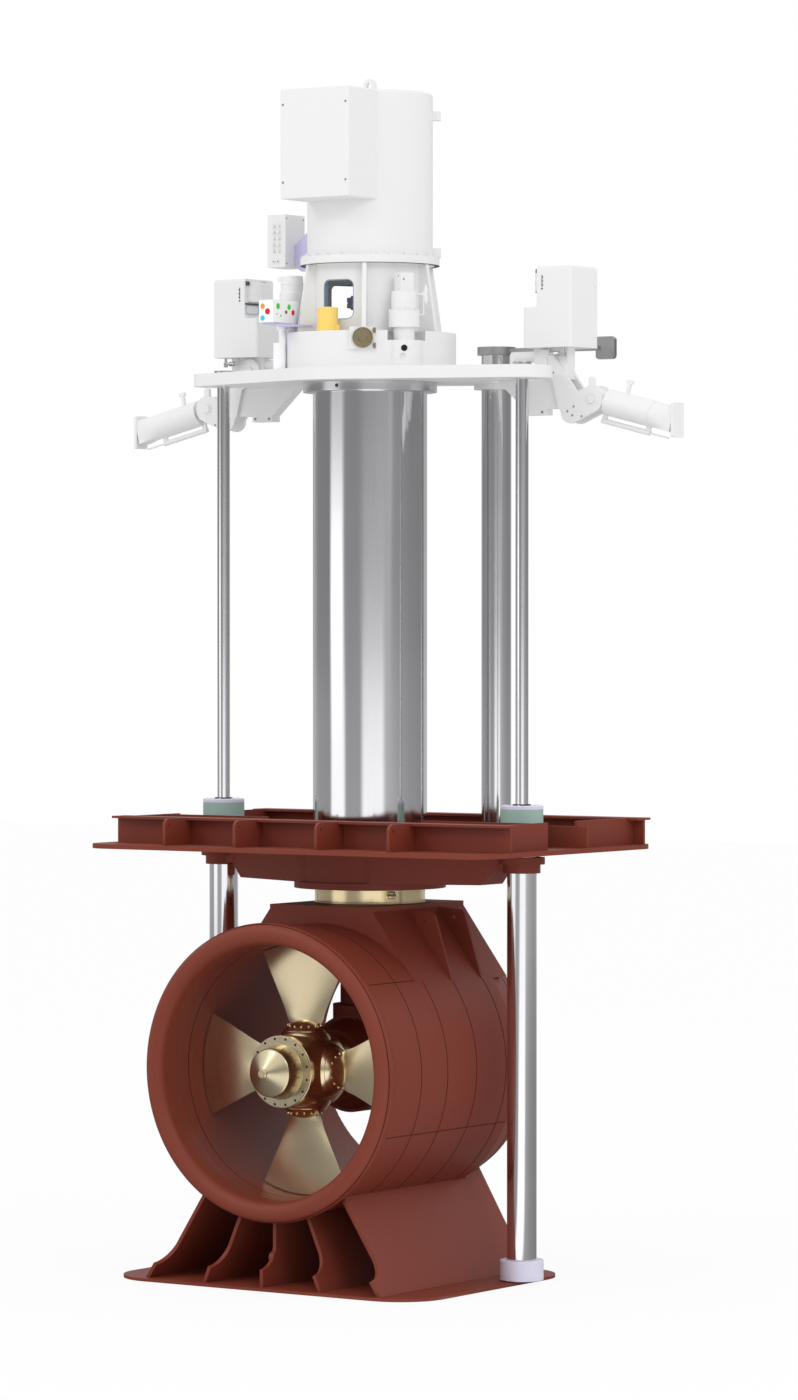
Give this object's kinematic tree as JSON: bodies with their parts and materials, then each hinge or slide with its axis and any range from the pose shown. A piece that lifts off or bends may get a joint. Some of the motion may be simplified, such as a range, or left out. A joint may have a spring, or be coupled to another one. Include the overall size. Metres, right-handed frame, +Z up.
{
  "type": "azimuth thruster",
  "caption": "Retractable azimuth thruster: ducted controllable-pitch propeller on a chromed stem, raised through a foundation plate by lift cylinders, with its motor on top.",
  "frame": {"origin": "on the azimuth axis, in the underside of the foundation plate", "axes": "+Z up along the azimuth axis, -Y towards the nozzle's mouth and the propeller's nose, +X towards the side with the guide column"},
  "size_m": [4.362, 2.378, 7.9249],
  "materials": {
    "red_brown_paint": "satin",
    "white_paint": "satin",
    "lavender_paint": "satin",
    "pale_paint": "satin",
    "green_paint": "satin",
    "yellow_paint": "satin",
    "hard_chrome": "polished",
    "bare_steel": "satin",
    "laminated_steel": "matt",
    "bronze": "polished",
    "dull_bronze": "satin",
    "seal_rubber": "matt",
    "lamp_plastic": "gloss"
  },
  "bodies": {
    "hull": {"foundation_plate": "red_brown_paint", "foundation_girders": "red_brown_paint", "stem_seal_ring": "seal_rubber", "lift_barrels": "hard_chrome", "barrel_glands": "green_paint", "gland_rings": "pale_paint", "barrel_foot_caps": "pale_paint", "guide_column": "hard_chrome", "column_head_stay": "bare_steel"},
    "carriage": {"carriage_plate": "white_paint", "stem_collar": "white_paint", "stem_tube": "hard_chrome", "lower_guide_arm": "red_brown_paint", "piston_rods": "hard_chrome", "column_bush": "white_paint", "steering_housing": "white_paint", "steering_motors": "white_paint", "inspection_cover": "dull_bronze", "oil_filler_cap": "yellow_paint", "azimuth_bearings": "bare_steel", "lantern": "white_paint", "motor_frame": "white_paint", "motor_stator": "laminated_steel", "terminal_box": "white_paint", "terminal_box_cover": "white_paint", "junction_box": "white_paint", "junction_bracket": "lavender_paint", "control_box": "white_paint", "control_lamps": "lamp_plastic", "control_stand": "lavender_paint", "enclosures": "white_paint", "enclosure_units": "white_paint", "lock_frames": "white_paint"},
    "azimuth": {"azimuth_tube": "bare_steel", "steering_ring_gear": "bare_steel", "azimuth_ring": "bronze", "nozzle_head_box": "red_brown_paint", "nozzle_shell": "red_brown_paint", "nozzle_legs": "red_brown_paint", "closing_plate": "red_brown_paint", "strut_leg": "red_brown_paint", "gearhouse": "red_brown_paint", "shaft_bearings": "bare_steel"},
    "drive_line": {"drive_shaft": "bare_steel", "bevel_pinion": "bare_steel"},
    "propeller": {"propeller_hub": "bronze", "hub_nose_cone": "bronze", "propeller_shaft": "bare_steel", "crown_wheel": "bare_steel"},
    "blade_1": {"propeller_blade_1": "bronze"},
    "blade_2": {"propeller_blade_2": "bronze"},
    "blade_3": {"propeller_blade_3": "bronze"},
    "blade_4": {"propeller_blade_4": "bronze"},
    "pinion_1": {"steering_pinion_1": "bare_steel"},
    "pinion_2": {"steering_pinion_2": "bare_steel"},
    "pinion_3": {"steering_pinion_3": "bare_steel"},
    "strut_right": {"lock_strut_right": "white_paint"},
    "foot_right": {"lock_foot_right": "white_paint"},
    "strut_left": {"lock_strut_left": "white_paint"},
    "foot_left": {"lock_foot_left": "white_paint"}
  },
  "joints": [
    {"name": "carriage_lift", "type": "slide", "parent": "hull", "child": "carriage", "axis": [0, 0, -1], "range_m": [0, 2.42]},
    {"name": "azimuth_turn", "type": "hinge", "parent": "carriage", "child": "azimuth", "pos_m": [0, 0, -1.418], "axis": [0, 0, 1], "range_deg": [-20, 20]},
    {"name": "propeller_spin", "type": "hinge", "parent": "azimuth", "child": "propeller", "pos_m": [0, -0.745, -1.418], "axis": [0, 1, 0], "continuous": true},
    {"name": "drive_spin", "type": "hinge", "parent": "azimuth", "child": "drive_line", "pos_m": [0, 0, -1.418], "axis": [0, 0, 1], "continuous": true},
    {"name": "blade_pitch_1", "type": "hinge", "parent": "propeller", "child": "blade_1", "pos_m": [0, -0.745, -1.418], "axis": [0, 0, 1], "range_deg": [-25, 25]},
    {"name": "blade_pitch_2", "type": "hinge", "parent": "propeller", "child": "blade_2", "pos_m": [0, -0.745, -1.418], "axis": [1, 0, 0], "range_deg": [-25, 25]},
    {"name": "blade_pitch_3", "type": "hinge", "parent": "propeller", "child": "blade_3", "pos_m": [0, -0.745, -1.418], "axis": [0, 0, -1], "range_deg": [-25, 25]},
    {"name": "blade_pitch_4", "type": "hinge", "parent": "propeller", "child": "blade_4", "pos_m": [0, -0.745, -1.418], "axis": [-1, 0, 0], "range_deg": [-25, 25]},
    {"name": "pinion_turn_1", "type": "hinge", "parent": "carriage", "child": "pinion_1", "pos_m": [0.45033, -0.26, 3.275], "axis": [0, 0, 1], "range_deg": [-130, 130]},
    {"name": "pinion_turn_2", "type": "hinge", "parent": "carriage", "child": "pinion_2", "pos_m": [0, 0.52, 3.275], "axis": [0, 0, 1], "range_deg": [-130, 130]},
    {"name": "pinion_turn_3", "type": "hinge", "parent": "carriage", "child": "pinion_3", "pos_m": [-0.45033, -0.26, 3.275], "axis": [0, 0, 1], "range_deg": [-130, 130]},
    {"name": "strut_swing_right", "type": "hinge", "parent": "carriage", "child": "strut_right", "pos_m": [1.555, 0.355, 2.962], "axis": [0, -1, 0], "range_deg": [-20, 35]},
    {"name": "foot_slide_right", "type": "slide", "parent": "strut_right", "child": "foot_right", "axis": [0.9711, 0, -0.2385], "range_m": [0, 0.08]},
    {"name": "strut_swing_left", "type": "hinge", "parent": "carriage", "child": "strut_left", "pos_m": [-1.555, 0.355, 2.962], "axis": [0, 1, 0], "range_deg": [-20, 35]},
    {"name": "foot_slide_left", "type": "slide", "parent": "strut_left", "child": "foot_left", "axis": [-0.9711, 0, -0.2385], "range_m": [0, 0.08]}
  ],
  "couplings": [
    {"joint": "drive_spin", "follows": "propeller_spin", "ratio": -2.5},
    {"joint": "blade_pitch_2", "follows": "blade_pitch_1", "ratio": 1},
    {"joint": "blade_pitch_3", "follows": "blade_pitch_1", "ratio": 1},
    {"joint": "blade_pitch_4", "follows": "blade_pitch_1", "ratio": 1},
    {"joint": "pinion_turn_1", "follows": "azimuth_turn", "ratio": -6.4286},
    {"joint": "pinion_turn_2", "follows": "azimuth_turn", "ratio": -6.4286},
    {"joint": "pinion_turn_3", "follows": "azimuth_turn", "ratio": -6.4286}
  ]
}
